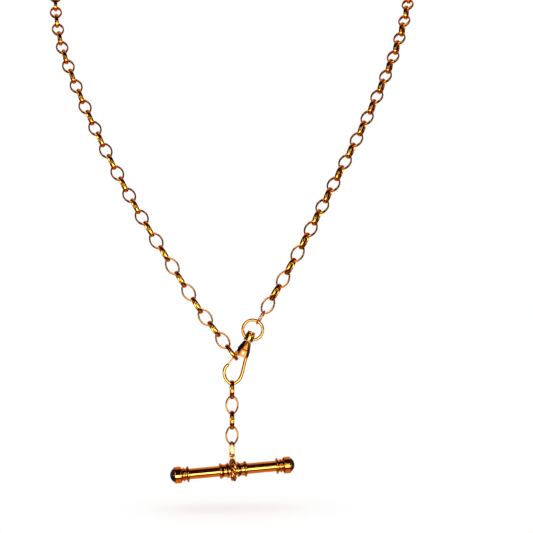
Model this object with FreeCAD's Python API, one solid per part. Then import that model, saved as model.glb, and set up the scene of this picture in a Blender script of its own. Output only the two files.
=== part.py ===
import FreeCAD, Part
import os
from math import atan2, cos, degrees, pi, radians, sin

V = FreeCAD.Vector

# Albert (pocket watch) chain fastened as a necklace. Millimetres.
# X to the right as seen from the front, Y backwards, Z up.
# The origin is the middle of the chain behind the neck, where it hangs.

# --- belcher link: an oval hoop of flattened wire
LINK_LENGTH = 4.86
LINK_WIDTH = 3.38
WIRE_THICKNESS = 0.45  # in the plane of the link
WIRE_BREADTH = 0.90  # across the plane of the link
END_RADIUS = 1.01  # centre line of the hoop at its ends
LINK_PITCH = 3.80  # from one contact to the next in the hanging chain

# --- path of the loop, from the clasp to the middle of the neck
# (left strand x, right strand x, y of both, z of both)
SIDE_PATH = [
    (-6.9, 8.9, -121.6, -116.3),
    (-10.9, 12.6, -121.4, -110.0),
    (-15.0, 16.3, -121.1, -103.5),
    (-20.5, 20.9, -118.2, -95.0),
    (-25.8, 25.4, -112.5, -86.3),
    (-34.0, 33.2, -103.6, -71.3),
    (-41.3, 40.3, -93.6, -56.3),
    (-47.0, 46.1, -81.0, -41.3),
    (-49.5, 49.7, -64.0, -26.0),
    (-49.5, 49.5, -43.0, -14.0),
    (-42.0, 42.0, -22.0, -6.5),
    (-24.0, 24.0, -5.5, -1.5),
    (0.0, 0.0, 0.0, 0.0),
    (24.0, -24.0, -5.5, -1.5),
]
STRAND_LINKS = 26  # links of each strand that pair up, clasp to neck
NECK_LINKS = 31  # links on each side behind the neck
LEFT_ROLL = (11.0, 14.0)  # turn of the face-on links inwards, bottom and top
RIGHT_ROLL = (17.0, 25.0)

# --- clasp: everything lies in a plane that leans back at the top
CLASP_TILT = 1.0  # lean of the clasp's plane from the vertical
CLASP_LEAN = 23.9  # lean of the clasp's axis inside that plane
RING_CENTRE = V(6.05, -121.5, -120.83)
RING_RADIUS = 2.50  # centre line
RING_WIRE = 0.36
JUMP_WIRE = 0.20
JUMP_ON_RING = 34.0  # where the jump ring holds the big ring, degrees from the top
RIDE = 0.08  # play between two pieces that hang in each other

# distances along the clasp's axis from the centre of the big ring
HEAD_TOP = 0.50
HEAD_BOTTOM = 3.08
HEAD_RADIUS = 1.15
RIVET_SEAT = 0.12  # depth of the rivet in the head
BODY_TOP = 3.20
BODY_SHOULDER = 5.38
BODY_BOTTOM = 7.30
BODY_HALF_WIDTHS = (0.92, 1.22, 1.58, 1.66)
BODY_HALF_DEPTHS = (0.80, 0.84, 0.78, 0.62)
RIVET_RADIUS = 0.30
SLOT_HALF = 0.26  # half of the gate slot
LOBE_HALF_DEPTH = 0.54
LOBE_RADIUS = 0.48
PIVOT = (-1.50, 7.70)  # gate pivot: across the axis, along the axis
PIN_RADIUS = 0.20
GATE_TIP = (-2.10, 10.28)
GATE_HALF_DEPTH = 0.22
KNUCKLE_RADIUS = 0.40
HOOK_WIRE = 0.40
HOOK_LINE = [
    (1.20, 6.45),
    (1.40, 7.90),
    (1.72, 9.60),
    (2.00, 11.30),
    (1.95, 12.80),
    (1.35, 13.92),
    (0.45, 14.50),
    (-0.50, 14.32),
    (-1.35, 13.80),
    (-2.03, 13.00),
    (-2.45, 11.80),
    (-2.16, 10.58),
]
END_LINK_SEAT = (-0.60, 8.36)  # middle of the last left link's band inside the hook

# --- drop chain and bar
DROP_ROLL = 7.0
JUMP_LINK_LENGTH = 4.20
JUMP_LINK_WIDTH = 2.60
JUMP_LINK_WIRE = 0.225
JUMP_LINK_TURN = 27.0
BAR_TILT = 4.4
BAR_YAW = 8.0
TUBE_RADIUS = 1.34
TUBE_WALL = 0.35
SOLDER_GAP = 0.02
ROPE_RADIUS = 2.20
ROPE_OFFSET = 0.405
ROPE_WIRE = 0.32
ROPE_TWISTS = 3
EYE_WIRE = 0.20
EYE_HALF_WIDTH = 0.63
COLLAR_INNER = 1.02
COLLAR_OUTER = 3.40
ARM_FLANGE = 10.90  # from the middle of the bar to the end flange
LEFT_EXTRA = 0.25  # the left arm is this much longer
FLANGE_LENGTH = 0.45
NECK_LENGTH = 1.40
CUP_LENGTH = 1.80
CUP_RADIUS = 2.10
NECK_RADIUS = 1.55
FLANGE_RADIUS = 2.05
STONE_RADIUS = 1.75
STONE_PROUD = 1.00


def perpendicular(vector, axis):
    """The unit vector nearest to vector at right angles to axis."""
    return (vector - axis * vector.dot(axis)).normalize()


def turned(vector, axis, angle):
    return FreeCAD.Rotation(axis, angle).multVec(vector)


def placed(shape, origin, x, y, z):
    """A copy of shape with its local axes laid along x, y and z."""
    matrix = FreeCAD.Matrix(
        x.x, y.x, z.x, origin.x, x.y, y.y, z.y, origin.y, x.z, y.z, z.z, origin.z, 0, 0, 0, 1
    )
    copy = shape.copy()
    copy.Placement = FreeCAD.Placement(matrix)
    return copy


# ---------------------------------------------------------------- belcher links
def hoop(length, width, end_radius, thickness, breadth):
    """An oval hoop round the local Y axis, long along Z, made of four swept arcs."""
    long_half = (length - thickness) / 2
    wide_half = (width - thickness) / 2
    rise = long_half - end_radius
    side_radius = (wide_half**2 + rise**2 - end_radius**2) / (2 * (wide_half - end_radius))
    end_half = degrees(atan2(side_radius - wide_half, rise))
    pieces = []
    for sign in (1, -1):
        pieces.append(arc(V(0, 0, sign * rise), V(0, 0, sign), end_radius, end_half, thickness, breadth))
        centre = V(sign * (wide_half - side_radius), 0, 0)
        pieces.append(arc(centre, V(sign, 0, 0), side_radius, 90 - end_half, thickness, breadth))
    return pieces[0].multiFuse(pieces[1:])


def arc(centre, middle, radius, half_angle, thickness, breadth):
    """Flattened wire bent about the local Y axis, centred on the direction middle."""
    start = turned(middle, V(0, 1, 0), -half_angle)
    section = oval_face(centre + start * radius, start, V(0, 1, 0), thickness / 2, breadth / 2)
    return section.revolve(centre, V(0, 1, 0), 2 * half_angle)


def oval_face(centre, direction, other, half, other_half):
    """An elliptical face, or a round one where both halves agree."""
    if abs(half - other_half) < 1e-6:
        edge = Part.Circle(centre, direction.cross(other), half).toShape()
    elif other_half > half:
        edge = Part.Ellipse(centre + other * other_half, centre + direction * half, centre).toShape()
    else:
        edge = Part.Ellipse(centre + direction * half, centre + other * other_half, centre).toShape()
    return Part.Face(Part.Wire([edge]))


def straight_hoop(long_half, end_radius, wire):
    """A racetrack of round wire in the local XZ plane."""
    rise = long_half - end_radius
    pieces = []
    for sign in (1, -1):
        section = oval_face(V(end_radius, 0, sign * rise), V(1, 0, 0), V(0, 1, 0), wire, wire)
        pieces.append(section.revolve(V(0, 0, sign * rise), V(0, 1, 0), -sign * 180))
        side = Part.makeCylinder(wire, 2 * rise, V(sign * end_radius, 0, -rise), V(0, 0, 1))
        pieces.append(side)
    return pieces[0].multiFuse(pieces[1:])


LINK = hoop(LINK_LENGTH, LINK_WIDTH, END_RADIUS, WIRE_THICKNESS, WIRE_BREADTH)


def link_between(upper, lower, normal):
    """A belcher link hanging between two contacts, its flat side facing along normal."""
    z = (upper - lower).normalize()
    y = perpendicular(normal, z)
    return placed(LINK, (upper + lower) / 2, y.cross(z), y, z)


# ---------------------------------------------------------------- the loop's contacts
def side_curve(side):
    """One side of the loop. Both sides share their parameters, so y and z agree."""
    points = [V(row[side], row[2], row[3]) for row in SIDE_PATH]
    ahead = [V(row[1], row[2], row[3]) for row in SIDE_PATH]
    parameters = [0.0]
    for before, after in zip(ahead, ahead[1:]):
        parameters.append(parameters[-1] + (after - before).Length)
    curve = Part.BSplineCurve()
    curve.interpolate(Points=points, Parameters=parameters)
    return curve, parameters[-2]


LEFT_CURVE, NECK_MIDDLE = side_curve(0)
RIGHT_CURVE, _ = side_curve(1)


def step_along(start, length):
    """The parameter whose contacts lie, on average, one link further up."""
    low, high = start, start + 2 * length
    for _ in range(40):
        middle = (low + high) / 2
        found = 0.0
        for curve in (LEFT_CURVE, RIGHT_CURVE):
            found += (curve.value(middle) - curve.value(start)).Length / 2
        low, high = (middle, high) if found < length else (low, middle)
    return low


def contact_parameters():
    """Levels 0 to STRAND_LINKS of the strands, then even steps to the neck's middle."""
    levels = [0.0]
    for _ in range(STRAND_LINKS):
        levels.append(step_along(levels[-1], LINK_PITCH))
    low, high = 0.9 * LINK_PITCH, 1.1 * LINK_PITCH
    for _ in range(30):
        pitch = (low + high) / 2
        neck = [levels[-1]]
        for _ in range(NECK_LINKS):
            neck.append(step_along(neck[-1], pitch))
        low, high = (pitch, high) if neck[-1] < NECK_MIDDLE else (low, pitch)
    return levels + neck[1:]


LEVELS = contact_parameters()
LEFT = [LEFT_CURVE.value(t) for t in LEVELS]
RIGHT = [RIGHT_CURVE.value(t) for t in LEVELS]


def link_normals(contacts, roll, sign):
    """Direction that the face-on links of one side look along, for each link."""
    normals = []
    for k in range(len(contacts) - 1):
        axis = (contacts[k + 1] - contacts[k]).normalize()
        if k < STRAND_LINKS:
            share = k / STRAND_LINKS
            angle = roll[0] + (roll[1] - roll[0]) * share
            normal = turned(perpendicular(V(0, -1, 0), axis), axis, sign * angle)
        else:
            normal = perpendicular(normals[-1], axis)
            normal = turned(normal, axis, -sign * roll[1] / NECK_LINKS)
        normals.append(normal)
    return normals


LEFT_NORMALS = link_normals(LEFT, LEFT_ROLL, 1)
RIGHT_NORMALS = link_normals(RIGHT, RIGHT_ROLL, -1)


def side_link(contacts, normals, k, face_on):
    """Link k of one side, between contacts k and k + 1."""
    upper, lower, normal = contacts[k + 1], contacts[k], normals[k]
    if not face_on:
        normal = normal.cross((upper - lower).normalize())
    return link_between(upper, lower, normal)


def left_link(k):
    return side_link(LEFT, LEFT_NORMALS, k, k % 2 == 1)


def right_link(k):
    return side_link(RIGHT, RIGHT_NORMALS, k, k % 2 == 0)


def strand_nodes():
    """Two links to a node, counted from the neck down."""
    nodes = {}
    for pair in range(STRAND_LINKS // 2):
        top = STRAND_LINKS - 1 - 2 * pair
        nodes[f"left_pair_{pair + 1:02d}"] = [left_link(top), left_link(top - 1)]
        nodes[f"right_pair_{pair + 1:02d}"] = [right_link(top), right_link(top - 1)]
    neck = range(STRAND_LINKS, STRAND_LINKS + NECK_LINKS)
    nodes["neck_left"] = [left_link(k) for k in neck]
    nodes["neck_right"] = [right_link(k) for k in neck]
    return nodes


# ---------------------------------------------------------------- clasp
PLANE_UP = V(0, sin(radians(CLASP_TILT)), cos(radians(CLASP_TILT)))
PLANE_OUT = V(0, -cos(radians(CLASP_TILT)), sin(radians(CLASP_TILT)))
SIDEWAYS = V(1, 0, 0)
CLASP_DOWN = PLANE_UP * -cos(radians(CLASP_LEAN)) - SIDEWAYS * sin(radians(CLASP_LEAN))
CLASP_ACROSS = SIDEWAYS * cos(radians(CLASP_LEAN)) - PLANE_UP * sin(radians(CLASP_LEAN))
CLASP_OUT = CLASP_DOWN.cross(CLASP_ACROSS)


def on_clasp(shape):
    """Local X across the clasp, local Z down its axis from the ring's centre."""
    return placed(shape, RING_CENTRE, CLASP_ACROSS, CLASP_OUT, CLASP_DOWN)


def clasp_point(across, down):
    return RING_CENTRE + CLASP_ACROSS * across + CLASP_DOWN * down


def torus(centre, axis, radius, wire):
    return Part.makeTorus(radius, wire, centre, axis)


def swivel_ring():
    return torus(RING_CENTRE, PLANE_OUT, RING_RADIUS, RING_WIRE)


def jump_ring():
    """Joins the right strand's last link to the big ring, square to both."""
    angle = radians(JUMP_ON_RING)
    hold = RING_CENTRE + (SIDEWAYS * sin(angle) + PLANE_UP * cos(angle)) * RING_RADIUS
    axis = (RIGHT[0] - hold).normalize()
    band_gap = (LINK_LENGTH - LINK_PITCH) / 2 - WIRE_THICKNESS / 2
    top = RIGHT[0] + axis * (WIRE_THICKNESS / 2 + JUMP_WIRE + RIDE - band_gap)
    bottom = hold - axis * (RING_WIRE + JUMP_WIRE + RIDE)
    across = RIGHT_NORMALS[0].cross(axis) + PLANE_OUT.cross(axis)
    normal = perpendicular(across, axis)
    return torus((top + bottom) / 2, normal, (top - bottom).Length / 2, JUMP_WIRE)


def turned_solid(profile):
    """A solid of revolution about local Z. The profile is a closed line through (radius, height)
    points, straight between them, and a list of points inside it is one smooth curve."""
    edges = []
    corners = []
    for item in profile:
        run = [V(radius, 0, height) for radius, height in (item if isinstance(item, list) else [item])]
        if corners and (corners[-1] - run[0]).Length > 1e-6:
            edges.append(Part.LineSegment(corners[-1], run[0]).toShape())
        if len(run) > 1:
            curve = Part.BSplineCurve()
            curve.interpolate(run)
            edges.append(curve.toShape())
        corners += run
    edges.append(Part.LineSegment(corners[-1], corners[0]).toShape())
    return Part.Face(Part.Wire(edges)).revolve(V(0, 0, 0), V(0, 0, 1), 360)


def swivel_head():
    """A domed button on a barrel, bored with a curved hole in which the big ring slides."""
    top, bottom = HEAD_TOP, HEAD_BOTTOM
    profile = [
        (0, top),
        [
            (0.70, top),
            (0.92, top + 0.07),
            (1.00, top + 0.24),
            (0.93, top + 0.40),
        ],
        [
            (0.98, top + 0.46),
            (1.10, top + 0.85),
            (HEAD_RADIUS, top + 1.40),
            (HEAD_RADIUS - 0.03, bottom - 0.45),
        ],
        [
            (HEAD_RADIUS + 0.02, bottom - 0.40),
            (HEAD_RADIUS + 0.07, bottom - 0.25),
            (HEAD_RADIUS + 0.02, bottom - 0.09),
            (HEAD_RADIUS - 0.12, bottom),
        ],
        (0, bottom),
    ]
    way = Part.makeTorus(RING_RADIUS, RING_WIRE + RIDE - 0.02, V(0, 0, 0), V(0, 1, 0))
    bore = Part.makeCylinder(RIVET_RADIUS + 0.001, 1.0, V(0, 0, bottom - RIVET_SEAT), V(0, 0, 1))
    return on_clasp(turned_solid(profile).cut(way).cut(bore))


def swivel_rivet():
    """Shank in the head, turning in the body, with its peened end inside."""
    shank = RIVET_RADIUS - 0.01
    profile = [
        (0, HEAD_BOTTOM - RIVET_SEAT + 0.01),
        (shank, HEAD_BOTTOM - RIVET_SEAT + 0.01),
        (shank, BODY_TOP + 0.70),
        (shank + 0.16, BODY_TOP + 0.75),
        (shank + 0.13, BODY_TOP + 0.95),
        (0, BODY_TOP + 1.05),
    ]
    return on_clasp(turned_solid(profile))


def oval_wire(height, half_width, half_depth):
    edge = (
        Part.Ellipse(V(half_width, 0, height), V(0, half_depth, height), V(0, 0, height))
        if half_width > half_depth
        else Part.Ellipse(V(0, half_depth, height), V(half_width, 0, height), V(0, 0, height))
    )
    return Part.Wire([edge.toShape()])


def bell():
    """The outside of the body: a flattened bell with a bead at its shoulder."""
    heights = (BODY_TOP, BODY_TOP + 0.9, BODY_SHOULDER, BODY_BOTTOM)
    wires = [oval_wire(*row) for row in zip(heights, BODY_HALF_WIDTHS, BODY_HALF_DEPTHS)]
    outside = Part.makeLoft(wires, True, False)
    wide, deep = BODY_HALF_WIDTHS[2], BODY_HALF_DEPTHS[2]
    bead = Part.makeLoft(
        [
            oval_wire(BODY_SHOULDER - 0.16, wide - 0.02, deep - 0.02),
            oval_wire(BODY_SHOULDER, wide + 0.10, deep + 0.14),
            oval_wire(BODY_SHOULDER + 0.16, wide - 0.02, deep - 0.04),
        ],
        True,
        False,
    )
    return outside.fuse(bead)


def lobe():
    """The fork's cheek round the gate pin."""
    across, down = PIVOT
    disc = Part.makeCylinder(LOBE_RADIUS, 2 * LOBE_HALF_DEPTH, V(across, -LOBE_HALF_DEPTH, down), V(0, 1, 0))
    web = Part.makeBox(1.0, 2 * LOBE_HALF_DEPTH, 1.2, V(across - 0.36, -LOBE_HALF_DEPTH, down - 1.25))
    return disc.fuse(web)


def clasp_body():
    across, down = PIVOT
    body = bell().fuse(lobe())
    shank = Part.makeCylinder(RIVET_RADIUS + 0.04, 1.2, V(0, 0, BODY_TOP - 0.1), V(0, 0, 1))
    pocket = Part.makeCylinder(RIVET_RADIUS + 0.21, 0.52, V(0, 0, BODY_TOP + 0.64), V(0, 0, 1))
    slot = Part.makeBox(2.0, 2 * SLOT_HALF, 4.0, V(-2.2, -SLOT_HALF, BODY_SHOULDER + 0.25))
    window = Part.makeCylinder(0.42, 3, V(0.15, -1.5, 6.24), V(0, 1, 0))
    pin = Part.makeCylinder(PIN_RADIUS + 0.001, 3, V(across, -1.5, down), V(0, 1, 0))
    for cut in (shank, pocket, slot, window, pin):
        body = body.cut(cut)
    body = body.cut(hook_wire(0.001))
    return on_clasp(body)


def hook_path():
    curve = Part.BSplineCurve()
    curve.interpolate([V(across, 0, down) for across, down in HOOK_LINE])
    return curve


def hook_wire(extra=0.0):
    """The hook as bent round wire, with a rounded tip."""
    curve = hook_path()
    start, end = curve.value(curve.FirstParameter), curve.value(curve.LastParameter)
    heading = curve.tangent(curve.FirstParameter)[0]
    circle = Part.Circle(start, heading, HOOK_WIRE + extra).toShape()
    sweep = Part.BRepOffsetAPI.MakePipeShell(Part.Wire([curve.toShape()]))
    sweep.setBiNormalMode(V(0, 1, 0))
    sweep.add(Part.Wire([circle]))
    sweep.build()
    sweep.makeSolid()
    return sweep.shape().fuse(Part.makeSphere(HOOK_WIRE + extra, end))


def gate_seat():
    """The notch in the hook's tip where the gate comes to rest."""
    tip = V(GATE_TIP[0], 0, GATE_TIP[1])
    return Part.makeSphere(0.30, tip + V(0.05, 0, -0.02))


def clasp_hook():
    return on_clasp(hook_wire().cut(gate_seat()))


def gate_pin():
    across, down = PIVOT
    half = LOBE_HALF_DEPTH + 0.03
    return on_clasp(Part.makeCylinder(PIN_RADIUS, 2 * half, V(across, -half, down), V(0, 1, 0)))


def gate():
    """Knuckle on the pin and a slim tapering arm that closes the hook."""
    across, down = PIVOT
    width = 2 * GATE_HALF_DEPTH
    knuckle = Part.makeCylinder(KNUCKLE_RADIUS, width, V(across, -GATE_HALF_DEPTH, down), V(0, 1, 0))
    pivot, tip = V(across, 0, down), V(GATE_TIP[0], 0, GATE_TIP[1])
    along = (tip - pivot).normalize()
    arm = Part.makeCone(0.22, 0.16, (tip - pivot).Length, pivot, along)
    arm = arm.fuse(Part.makeSphere(0.20, tip))
    bore = Part.makeCylinder(PIN_RADIUS + 0.03, 2, V(across, -1, down), V(0, 1, 0))
    return on_clasp(knuckle.fuse(arm).cut(bore))


def gate_spring():
    """A leaf bent inside the slot, bearing on the gate's knuckle."""
    bend = [V(-0.85, 0, 5.85), V(-1.05, 0, 6.40), V(-1.18, 0, 7.06)]
    curve = Part.BSplineCurve()
    curve.interpolate(bend)
    strip = curve.toShape().extrude(V(0, 0.36, 0))
    strip.translate(V(0, -0.18, 0))
    return on_clasp(strip.extrude(V(0.09, 0, 0.02)))


def left_tail():
    """The left strand's links below level 0, down to the one that the hook holds."""
    seat = clasp_point(*END_LINK_SEAT)
    run = (seat - LEFT[0]).Length
    reach = LINK_LENGTH - WIRE_THICKNESS - (LINK_LENGTH - LINK_PITCH) / 2 + WIRE_THICKNESS / 2
    down = (seat - LEFT[0]).normalize()
    step = (run - reach) / 3
    contacts = [LEFT[0] + down * step * k for k in range(4)]
    face = turned(perpendicular(V(0, -1, 0), -down), -down, LEFT_ROLL[0])
    edge = face.cross(-down)
    square = perpendicular(CLASP_ACROSS, -down)
    links = [link_between(contacts[k], contacts[k + 1], edge if k % 2 else face) for k in range(3)]
    end_middle = seat - down * (LINK_LENGTH - WIRE_THICKNESS) / 2
    end = placed(LINK, end_middle, square.cross(-down), square, -down)
    return links, end, contacts, down


def clasp_nodes():
    links, end, _, _ = left_tail()
    return {
        "left_pair_14": [links[0], links[1]],
        "left_last_link": [links[2]],
        "left_end_link": [end],
        "jump_ring": [jump_ring()],
        "swivel_ring": [swivel_ring()],
        "swivel_head": [swivel_head()],
        "swivel_rivet": [swivel_rivet()],
        "clasp_body": [clasp_body()],
        "clasp_hook": [clasp_hook()],
        "gate": [gate()],
        "gate_pin": [gate_pin()],
        "gate_spring": [gate_spring()],
    }


# ---------------------------------------------------------------- drop chain and bar
def hook_lowest():
    """The lowest point of the hook's centre line, where the drop hangs."""
    curve = hook_path()
    steps = 400
    lowest = None
    for k in range(steps + 1):
        share = k / steps
        at = curve.FirstParameter + share * (curve.LastParameter - curve.FirstParameter)
        local = curve.value(at)
        point = clasp_point(local.x, local.z)
        if lowest is None or point.z < lowest.z:
            lowest = point
    return lowest


HANG = hook_lowest()
LINK_DROP = LINK_LENGTH - WIRE_THICKNESS  # between the two ends' centre lines
LINK_STEP = LINK_PITCH
FIRST_TOP = HANG.z + HOOK_WIRE + WIRE_THICKNESS / 2 + RIDE
UP = V(0, 0, 1)


def drop_height(k):
    """Centre line of the top end of drop link k, counted from 0."""
    return FIRST_TOP - k * LINK_STEP


def drop_links():
    """Four belcher links, alternately edge-on and face-on."""
    nodes = {}
    for k in range(4):
        middle = V(HANG.x, HANG.y, drop_height(k) - LINK_DROP / 2)
        y = turned(V(0, -1, 0), UP, DROP_ROLL)
        if k % 2 == 0:
            y = y.cross(UP)
        nodes[f"drop_link_{k + 1}"] = [placed(LINK, middle, y.cross(UP), y, UP)]
    return nodes


JUMP_TOP = drop_height(3) - LINK_DROP + WIRE_THICKNESS / 2 + JUMP_LINK_WIRE + RIDE + 0.03
JUMP_BOTTOM = JUMP_TOP - JUMP_LINK_LENGTH + 2 * JUMP_LINK_WIRE


def drop_jump_link():
    long_half = JUMP_LINK_LENGTH / 2 - JUMP_LINK_WIRE
    wide_half = JUMP_LINK_WIDTH / 2 - JUMP_LINK_WIRE
    y = turned(V(1, 0, 0), UP, JUMP_LINK_TURN)
    middle = V(HANG.x, HANG.y, (JUMP_TOP + JUMP_BOTTOM) / 2)
    return placed(straight_hoop(long_half, wide_half, JUMP_LINK_WIRE), middle, y.cross(UP), y, UP)


EYE_APEX = JUMP_LINK_WIRE + EYE_WIRE + RIDE  # of the eye's centre line above the jump link's
ROPE_OUTSIDE = ROPE_RADIUS + ROPE_OFFSET + ROPE_WIRE
BAR_BELOW = JUMP_LINK_WIRE + 0.13 + ROPE_OUTSIDE
BAR_ALONG = turned(turned(V(1, 0, 0), V(0, 1, 0), -BAR_TILT), UP, BAR_YAW)
BAR_UP = perpendicular(UP, BAR_ALONG)
BAR_BACK = BAR_UP.cross(BAR_ALONG)
BAR_HOLD = V(HANG.x, HANG.y, JUMP_BOTTOM)
BAR_MIDDLE = BAR_HOLD - BAR_UP * BAR_BELOW


def on_bar(shape):
    """Local Z along the bar to the right, local X up."""
    return placed(shape, BAR_MIDDLE, BAR_UP, BAR_UP.cross(BAR_ALONG) * -1, BAR_ALONG)


def rope_wire(start):
    """One wire of the rope-twist ring, wound round a circle about local Z."""
    steps = 72
    points = []
    for k in range(steps):
        turn = 2 * pi * k / steps
        twist = ROPE_TWISTS * turn + start
        radius = ROPE_RADIUS + ROPE_OFFSET * cos(twist)
        points.append(V(radius * cos(turn), radius * sin(turn), ROPE_OFFSET * sin(twist)))
    curve = Part.BSplineCurve()
    curve.interpolate(points, PeriodicFlag=True)
    middle = (curve.FirstParameter + curve.LastParameter) / 2
    faces = []
    for begin, end in ((curve.FirstParameter, middle), (middle, curve.LastParameter)):
        section = Part.Circle(curve.value(begin), curve.tangent(begin)[0], ROPE_WIRE)
        spine = Part.Wire([curve.toShape(begin, end)])
        faces += spine.makePipeShell([Part.Wire([section.toShape()])], False, True).Faces
    skin = Part.makeShell(faces)
    skin.sewShape()
    return Part.makeSolid(Part.Shell(skin.Faces))


def bail_rope():
    return [on_bar(rope_wire(2 * pi * k / 3)) for k in range(3)]


def bail_eye():
    """A half hoop of wire soldered across the top of the rope ring."""
    apex = BAR_BELOW + EYE_APEX
    spring_line = apex - EYE_HALF_WIDTH
    section = oval_face(V(spring_line, 0, EYE_HALF_WIDTH), V(0, 0, 1), V(0, 1, 0), EYE_WIRE, EYE_WIRE)
    arch = section.revolve(V(spring_line, 0, 0), V(0, 1, 0), 180)
    foot = ROPE_RADIUS + 0.25
    legs = [
        Part.makeCylinder(EYE_WIRE, spring_line - foot, V(foot, 0, sign * EYE_HALF_WIDTH), V(1, 0, 0))
        for sign in (1, -1)
    ]
    eye = arch.multiFuse(legs)
    for k in range(3):
        eye = eye.cut(rope_wire(2 * pi * k / 3))
    solids = sorted(eye.Solids, key=lambda solid: solid.Volume)
    return on_bar(solids[-1])


def mirrored(profile, right):
    """The profile as it is for the right arm, or with its heights turned over for the left."""
    if right:
        return profile
    return [mirrored(item, right) if isinstance(item, list) else (item[0], -item[1]) for item in profile]


def bar_tube():
    left = ARM_FLANGE + LEFT_EXTRA + FLANGE_LENGTH + 0.7
    right = ARM_FLANGE + FLANGE_LENGTH + 0.7
    tube = Part.makeCylinder(TUBE_RADIUS, left + right, V(0, 0, -left), V(0, 0, 1))
    return tube.cut(Part.makeCylinder(TUBE_RADIUS - TUBE_WALL, left + right, V(0, 0, -left), V(0, 0, 1)))


def centre_collar(right):
    """A sleeve, flared beside the rope ring, waisted, and with a rounded rim at its outer end."""
    inner = TUBE_RADIUS + SOLDER_GAP
    start, end = COLLAR_INNER, COLLAR_OUTER
    profile = [
        (inner, start),
        (1.82, start),
        [
            (1.92, start + 0.05),
            (1.95, start + 0.16),
            (1.88, start + 0.34),
            (1.66, start + 0.72),
            (1.58, start + 1.10),
            (1.61, start + 1.42),
            (1.73, end - 0.62),
        ],
        [
            (1.80, end - 0.56),
            (1.92, end - 0.44),
            (1.98, end - 0.26),
            (1.93, end - 0.07),
            (1.84, end),
        ],
        (inner, end),
    ]
    return turned_solid(mirrored(profile, right))


def arm_length(right):
    return ARM_FLANGE if right else ARM_FLANGE + LEFT_EXTRA


def end_flange(right):
    near = arm_length(right)
    far = near + FLANGE_LENGTH
    inner = TUBE_RADIUS + SOLDER_GAP
    profile = [
        (inner, near),
        [
            (FLANGE_RADIUS - 0.22, near),
            (FLANGE_RADIUS - 0.06, near + 0.07),
            (FLANGE_RADIUS, (near + far) / 2),
            (FLANGE_RADIUS - 0.06, far - 0.07),
            (FLANGE_RADIUS - 0.22, far),
        ],
        (inner, far),
    ]
    return turned_solid(mirrored(profile, right))


def end_cup(right):
    """Neck with a bead, then the bezel that holds the stone."""
    near = arm_length(right) + FLANGE_LENGTH + SOLDER_GAP
    cup = near + NECK_LENGTH
    rim = cup + CUP_LENGTH
    inner = TUBE_RADIUS + SOLDER_GAP
    seat = STONE_RADIUS + SOLDER_GAP
    profile = [
        (inner, near),
        [
            (NECK_RADIUS + 0.05, near),
            (NECK_RADIUS - 0.07, near + 0.22),
            (NECK_RADIUS - 0.05, near + 0.48),
        ],
        [
            (NECK_RADIUS + 0.06, near + 0.52),
            (NECK_RADIUS + 0.17, near + 0.64),
            (NECK_RADIUS + 0.17, near + 0.80),
            (NECK_RADIUS + 0.06, near + 0.92),
        ],
        [
            (NECK_RADIUS - 0.05, near + 0.96),
            (NECK_RADIUS - 0.03, cup - 0.25),
            (NECK_RADIUS + 0.12, cup - 0.12),
            (CUP_RADIUS - 0.22, cup - 0.02),
            (CUP_RADIUS - 0.04, cup + 0.14),
            (CUP_RADIUS, cup + 0.35),
        ],
        [
            (CUP_RADIUS, rim - 0.42),
            (CUP_RADIUS - 0.02, rim - 0.22),
            (CUP_RADIUS - 0.10, rim - 0.06),
            (CUP_RADIUS - 0.22, rim),
        ],
        (seat, rim),
        (seat, rim - 0.60),
        (0, rim - 0.60),
        (0, near + 0.75),
        (inner, near + 0.75),
    ]
    return turned_solid(mirrored(profile, right))


def end_stone(right):
    """A domed black cabochon set in the bezel."""
    rim = arm_length(right) + FLANGE_LENGTH + SOLDER_GAP + NECK_LENGTH + CUP_LENGTH
    base, girdle = rim - 0.58, rim + 0.02
    sphere = (STONE_RADIUS**2 + STONE_PROUD**2) / (2 * STONE_PROUD)
    centre = girdle + STONE_PROUD - sphere
    sign = 1 if right else -1
    seat = Part.makeCylinder(STONE_RADIUS, girdle - base, V(0, 0, sign * base), V(0, 0, sign))
    ball = Part.makeSphere(sphere, V(0, 0, sign * centre))
    slab = Part.makeCylinder(STONE_RADIUS, 2 * STONE_PROUD, V(0, 0, sign * girdle), V(0, 0, sign))
    return seat.fuse(ball.common(slab)).removeSplitter()


def bar_nodes():
    nodes = {
        "drop_jump_link": [drop_jump_link()],
        "bail_rope": bail_rope(),
        "bail_eye": [bail_eye()],
        "bar_tube": [on_bar(bar_tube())],
    }
    for side in ("left", "right"):
        right = side == "right"
        nodes[f"{side}_collar"] = [on_bar(centre_collar(right))]
        nodes[f"{side}_flange"] = [on_bar(end_flange(right))]
        nodes[f"{side}_cup"] = [on_bar(end_cup(right))]
        nodes[f"{side}_stone"] = [on_bar(end_stone(right))]
    return nodes


def main():
    os.makedirs("parts", exist_ok=True)
    nodes = {**strand_nodes(), **clasp_nodes(), **drop_links(), **bar_nodes()}
    for name, shapes in nodes.items():
        solids = [solid for shape in shapes for solid in shape.Solids]
        shape = solids[0] if len(solids) == 1 else Part.makeCompound(solids)
        shape.exportStep(f"parts/{name}.step")


main()
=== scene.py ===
import math

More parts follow.
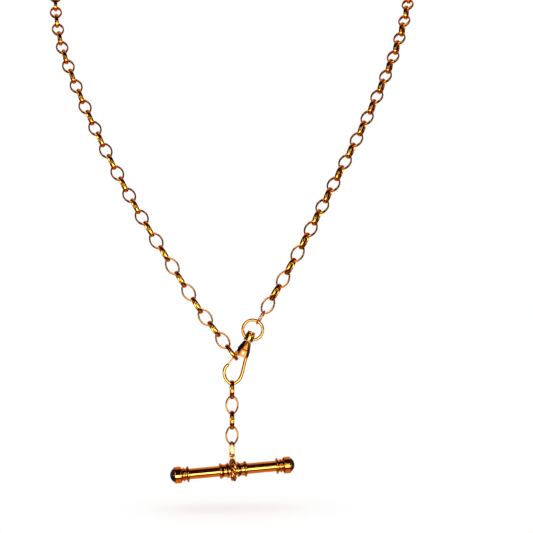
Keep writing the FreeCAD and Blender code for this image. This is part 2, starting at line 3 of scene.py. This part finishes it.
import bpy
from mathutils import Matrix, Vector


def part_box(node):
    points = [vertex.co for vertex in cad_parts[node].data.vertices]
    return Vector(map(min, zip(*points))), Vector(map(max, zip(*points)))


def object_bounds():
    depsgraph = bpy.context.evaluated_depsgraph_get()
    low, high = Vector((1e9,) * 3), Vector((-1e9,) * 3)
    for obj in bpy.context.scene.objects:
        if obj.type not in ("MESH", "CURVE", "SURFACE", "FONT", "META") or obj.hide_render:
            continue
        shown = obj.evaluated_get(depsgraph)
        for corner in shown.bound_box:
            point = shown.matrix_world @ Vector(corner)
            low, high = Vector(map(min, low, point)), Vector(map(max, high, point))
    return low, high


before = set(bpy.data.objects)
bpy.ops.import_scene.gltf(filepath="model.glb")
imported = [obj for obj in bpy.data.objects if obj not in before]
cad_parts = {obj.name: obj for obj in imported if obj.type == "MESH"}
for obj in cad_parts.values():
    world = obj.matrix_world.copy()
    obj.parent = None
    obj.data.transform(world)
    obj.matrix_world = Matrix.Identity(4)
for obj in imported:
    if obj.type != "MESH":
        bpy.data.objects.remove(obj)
cad_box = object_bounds()

MM = 0.001

# --- camera, measured from the middle of the bar's tube
CAMERA_FROM_BAR = Vector((8.5, -480.3, 50.9)) * MM
CAMERA_LENS = 129.7
CAMERA_SENSOR = 36.0

FLOOR_DROP = 6.5 * MM  # below the lowest point of the chain
FLOOR_SIZE = 8.0
FLOOR_WHITE = 0.90
ROOM_WHITE = 1.16  # the light of the room on the floor and the stones
SEEN_WHITE = 1.03  # the room as the camera sees it, just white

# --- what the polished metal mirrors, by the angle of the direction above the front, in degrees
# (angle, colour)
REFLECTED_BANDS = [
    (-180, (0.76, 0.50, 0.30)),
    (-120, (0.64, 0.40, 0.24)),
    (-63, (0.58, 0.34, 0.20)),
    (-56, (0.22, 0.030, 0.020)),
    (-31, (0.20, 0.026, 0.020)),
    (-27, (1.2, 1.1, 1.2)),
    (-22, (6.0, 7.6, 21.0)),
    (-6, (6.0, 7.6, 21.0)),
    (2, (0.8, 0.5, 0.4)),
    (8, (0.016, 0.004, 0.003)),
    (86, (0.010, 0.003, 0.002)),
    (96, (0.60, 0.38, 0.22)),
    (150, (0.76, 0.50, 0.30)),
    (180, (0.76, 0.50, 0.30)),
]
# darker walls left and right: (share of the direction that points sideways, brightness)
REFLECTED_SIDES = [(0.0, 1.0), (0.40, 1.0), (0.52, 0.06), (0.82, 0.04), (0.92, 0.6), (1.0, 0.6)]
# two bright panels above the front, one on each side, by the sideways share and by the angle
PANEL_SIDES = [(0.0, 0.0), (0.24, 0.0), (0.27, 1.0), (0.33, 1.0), (0.37, 0.0)]
PANEL_ANGLES = [(-180, 0.0), (8, 0.0), (13, 1.0), (34, 1.0), (42, 0.0), (180, 0.0)]
PANEL_COLOUR = (4.0, 5.0, 11.0)


def new_material(name):
    material = bpy.data.materials.new(name)
    material.use_nodes = True
    return material, material.node_tree.nodes, material.node_tree.links


def noise(nodes, links, coords, scale, detail=3.0, roughness=0.5, distortion=0.0):
    node = nodes.new("ShaderNodeTexNoise")
    node.inputs["Scale"].default_value = scale
    node.inputs["Detail"].default_value = detail
    node.inputs["Roughness"].default_value = roughness
    node.inputs["Distortion"].default_value = distortion
    links.new(coords, node.inputs["Vector"])
    return node.outputs["Fac"]


def spread(nodes, links, value, low, high, to_low, to_high):
    """Maps low..high onto to_low..to_high."""
    node = nodes.new("ShaderNodeMapRange")
    node.inputs["From Min"].default_value = low
    node.inputs["From Max"].default_value = high
    node.inputs["To Min"].default_value = to_low
    node.inputs["To Max"].default_value = to_high
    links.new(value, node.inputs["Value"])
    return node.outputs["Result"]


def colour_mix(nodes, links, factor, first, second, blend="MIX"):
    node = nodes.new("ShaderNodeMix")
    node.data_type = "RGBA"
    node.blend_type = blend
    sockets = [s for s in node.inputs if s.enabled]
    for socket, value in zip(sockets, (factor, first, second)):
        if isinstance(value, bpy.types.NodeSocket):
            links.new(value, socket)
        elif isinstance(value, tuple):
            socket.default_value = (*value, 1.0)
        else:
            socket.default_value = value
    return [s for s in node.outputs if s.enabled][0]


def bumped(nodes, links, height, distance, below=None):
    node = nodes.new("ShaderNodeBump")
    node.inputs["Strength"].default_value = 1.0
    node.inputs["Distance"].default_value = distance
    links.new(height, node.inputs["Height"])
    if below is not None:
        links.new(below, node.inputs["Normal"])
    return node.outputs["Normal"]


def worn_gold(name, bright, deep, patina_and_shade, shine, hammer):
    """Polished gold with a redder cast in places, tarnish and painted shade (ambient occlusion in the
    base colour) in its recesses and where parts touch, hairline scratches and the slight unevenness of
    hand finishing."""
    material, nodes, links = new_material(name)
    shader = nodes["Principled BSDF"]
    shader.inputs["Metallic"].default_value = 1.0
    coords = nodes.new("ShaderNodeTexCoord").outputs["Object"]

    cast = spread(nodes, links, noise(nodes, links, coords, 260.0), 0.35, 0.65, 0.0, 1.0)
    colour = colour_mix(nodes, links, cast, bright, deep)

    # painted shade: ambient occlusion darkens the base colour toward the near-black patina colour in
    # recesses and where parts touch, broken up by noise as tarnish
    shade_ao = nodes.new("ShaderNodeAmbientOcclusion")
    shade_ao.samples = 8
    shade_ao.inputs["Distance"].default_value = 0.55 * MM
    grime = noise(nodes, links, coords, 1900.0, detail=4.0)
    grimy = spread(nodes, links, grime, 0.3, 0.7, 0.55, 1.0)
    shade_in_recess = spread(nodes, links, shade_ao.outputs["AO"], 0.15, 0.80, 1.0, 0.0)
    product = nodes.new("ShaderNodeMath")
    product.operation = "MULTIPLY"
    links.new(grimy, product.inputs[0])
    links.new(shade_in_recess, product.inputs[1])
    tarnish_and_shade = product.outputs["Value"]
    colour = colour_mix(nodes, links, tarnish_and_shade, colour, patina_and_shade)
    links.new(colour, shader.inputs["Base Color"])

    # roughness: a soft film of handling marks, duller in the recesses
    marks = noise(nodes, links, coords, 900.0, detail=5.0)
    film = spread(nodes, links, marks, 0.3, 0.7, shine, shine + 0.06)
    dull = nodes.new("ShaderNodeMath")
    dull.operation = "MULTIPLY_ADD"
    dull.inputs[1].default_value = 0.22
    links.new(tarnish_and_shade, dull.inputs[0])
    links.new(film, dull.inputs[2])
    links.new(dull.outputs["Value"], shader.inputs["Roughness"])

    # hairline scratches run across one another at two slants
    normal = None
    for slant, scale in ((0.6, 9000.0), (-0.9, 7000.0)):
        mapping = nodes.new("ShaderNodeMapping")
        mapping.inputs["Rotation"].default_value = (0.3, slant, slant * 0.7)
        mapping.inputs["Scale"].default_value = (1.0, 0.06, 0.25)
        links.new(coords, mapping.inputs["Vector"])
        lines = noise(nodes, links, mapping.outputs["Vector"], scale, detail=2.0)
        normal = bumped(nodes, links, lines, 0.0006 * MM, normal)
    dents = noise(nodes, links, coords, 620.0, detail=2.0, distortion=0.4)
    normal = bumped(nodes, links, dents, hammer * MM, normal)
    links.new(normal, shader.inputs["Normal"])
    return material


def onyx(name):
    """Polished black stone with a faint cloudiness below its surface and fine wear on it."""
    material, nodes, links = new_material(name)
    shader = nodes["Principled BSDF"]
    shader.inputs["IOR"].default_value = 1.54
    shader.inputs["Specular IOR Level"].default_value = 0.25
    coords = nodes.new("ShaderNodeTexCoord").outputs["Object"]
    veil = noise(nodes, links, coords, 700.0, detail=4.0, distortion=1.2)
    cloud = spread(nodes, links, veil, 0.4, 0.7, 0.0, 1.0)
    colour = colour_mix(nodes, links, cloud, (0.0030, 0.0034, 0.0040), (0.012, 0.016, 0.018))
    links.new(colour, shader.inputs["Base Color"])
    film = spread(nodes, links, noise(nodes, links, coords, 1500.0, detail=5.0), 0.3, 0.7, 0.04, 0.13)
    links.new(film, shader.inputs["Roughness"])
    wear = noise(nodes, links, coords, 6000.0, detail=2.0)
    links.new(bumped(nodes, links, wear, 0.0003 * MM), shader.inputs["Normal"])
    return material


def dress(names, material):
    for name in names:
        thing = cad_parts[name]
        thing.data.materials.clear()
        thing.data.materials.append(material)


def starting(*starts):
    return [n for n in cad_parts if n.startswith(starts)]


# name, brighter colour, deeper colour, colour of the tarnish and painted shade in recesses, roughness,
# height of the dents in mm
LINK_GOLD = worn_gold(
    "link_gold", (0.86, 0.33, 0.014), (0.78, 0.21, 0.006), (0.04, 0.005, 0.001), 0.06, 0.006
)
CLASP_GOLD = worn_gold(
    "clasp_gold", (0.92, 0.38, 0.028), (0.86, 0.25, 0.013), (0.05, 0.006, 0.001), 0.06, 0.008
)
# painted shade: the clasp body is the same gold as the clasp, darkened in its base colour so its faces
# render darker than the lighting makes them
SHADED_BODY_GOLD = worn_gold(
    "shaded_body_gold", (0.34, 0.110, 0.006), (0.20, 0.050, 0.003), (0.04, 0.005, 0.001), 0.11, 0.030
)
BAR_GOLD = worn_gold(
    "bar_gold", (0.95, 0.40, 0.034), (0.90, 0.28, 0.018), (0.05, 0.006, 0.001), 0.03, 0.003
)
STONE = onyx("black_onyx")

LINKS = starting("neck_", "left_pair", "left_last", "left_end_link", "right_pair", "drop_")
CLASP = ["jump_ring", "swivel_ring", "swivel_head", "swivel_rivet"]
CLASP += ["clasp_hook", "gate", "gate_pin", "gate_spring"]
BAR = ["bail_rope", "bail_eye", "bar_tube"]
BAR += [f"{side}_{piece}" for side in ("left", "right") for piece in ("collar", "flange", "cup")]

dress(LINKS, LINK_GOLD)
dress(CLASP, CLASP_GOLD)
dress(["clasp_body"], SHADED_BODY_GOLD)
dress(BAR, BAR_GOLD)
dress(["left_stone", "right_stone"], STONE)


def floor():
    low, high = cad_box
    bpy.ops.mesh.primitive_plane_add(size=FLOOR_SIZE, location=(0, 0, low.z - FLOOR_DROP))
    plane = bpy.context.object
    plane.name = "floor"
    material, nodes, links = new_material("pale_floor")
    shader = nodes["Principled BSDF"]
    shader.inputs["Base Color"].default_value = (FLOOR_WHITE, FLOOR_WHITE, FLOOR_WHITE, 1.0)
    shader.inputs["Roughness"].default_value = 0.8
    shader.inputs["Specular IOR Level"].default_value = 0.1
    plane.data.materials.append(material)
    plane.visible_glossy = False  # the metal mirrors the room's panels instead


def ramp(nodes, links, value, stops):
    """A colour ramp through stops of (place from 0 to 1, colour)."""
    node = nodes.new("ShaderNodeValToRGB")
    node.color_ramp.interpolation = "LINEAR"
    elements = node.color_ramp.elements
    elements.remove(elements[1])
    elements[0].position = stops[0][0]
    elements[0].color = (*stops[0][1], 1.0)
    for place, colour in stops[1:]:
        elements.new(place).color = (*colour, 1.0)
    links.new(value, node.inputs["Fac"])
    return node.outputs["Color"]


def studio():
    """A near-white room. Polished metal mirrors a room with dark walls and bright panels."""
    world = bpy.data.worlds.new("studio")
    bpy.context.scene.world = world
    world.use_nodes = True
    nodes, links = world.node_tree.nodes, world.node_tree.links
    nodes.clear()
    direction = nodes.new("ShaderNodeTexCoord").outputs["Generated"]
    parts = nodes.new("ShaderNodeSeparateXYZ")
    links.new(direction, parts.inputs["Vector"])
    front = nodes.new("ShaderNodeMath")
    front.operation = "MULTIPLY"
    front.inputs[1].default_value = -1.0
    links.new(parts.outputs["Y"], front.inputs[0])
    angle = nodes.new("ShaderNodeMath")
    angle.operation = "ARCTAN2"
    links.new(parts.outputs["Z"], angle.inputs[0])
    links.new(front.outputs["Value"], angle.inputs[1])
    turn = spread(nodes, links, angle.outputs["Value"], -math.pi, math.pi, 0.0, 1.0)
    bands = ramp(nodes, links, turn, [((a + 180) / 360, c) for a, c in REFLECTED_BANDS])
    sideways = nodes.new("ShaderNodeMath")
    sideways.operation = "ABSOLUTE"
    links.new(parts.outputs["X"], sideways.inputs[0])
    walls = ramp(nodes, links, sideways.outputs["Value"], [(p, (b, b, b)) for p, b in REFLECTED_SIDES])
    mirrored = colour_mix(nodes, links, 1.0, bands, walls, "MULTIPLY")
    across = ramp(nodes, links, sideways.outputs["Value"], [(p, (b, b, b)) for p, b in PANEL_SIDES])
    above = ramp(nodes, links, turn, [((a + 180) / 360, (b, b, b)) for a, b in PANEL_ANGLES])
    panel = colour_mix(nodes, links, 1.0, across, above, "MULTIPLY")
    panel = colour_mix(nodes, links, 1.0, panel, PANEL_COLOUR, "MULTIPLY")
    mirrored = colour_mix(nodes, links, 1.0, mirrored, panel, "ADD")
    path = nodes.new("ShaderNodeLightPath")
    plain = colour_mix(nodes, links, path.outputs["Is Camera Ray"], (ROOM_WHITE,) * 3, (SEEN_WHITE,) * 3)
    seen = colour_mix(nodes, links, path.outputs["Is Glossy Ray"], plain, mirrored)
    background = nodes.new("ShaderNodeBackground")
    links.new(seen, background.inputs["Color"])
    output = nodes.new("ShaderNodeOutputWorld")
    links.new(background.outputs["Background"], output.inputs["Surface"])


def camera():
    low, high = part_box("bar_tube")
    data = bpy.data.cameras.new("camera")
    data.lens = CAMERA_LENS
    data.sensor_width = CAMERA_SENSOR
    data.clip_start = 0.01
    data.clip_end = 50.0
    eye = bpy.data.objects.new("camera", data)
    bpy.context.scene.collection.objects.link(eye)
    eye.location = (low + high) / 2 + CAMERA_FROM_BAR
    eye.rotation_euler = (math.radians(90), 0, 0)
    bpy.context.scene.camera = eye


floor()
studio()
camera()
bpy.context.scene.view_settings.view_transform = "Standard"
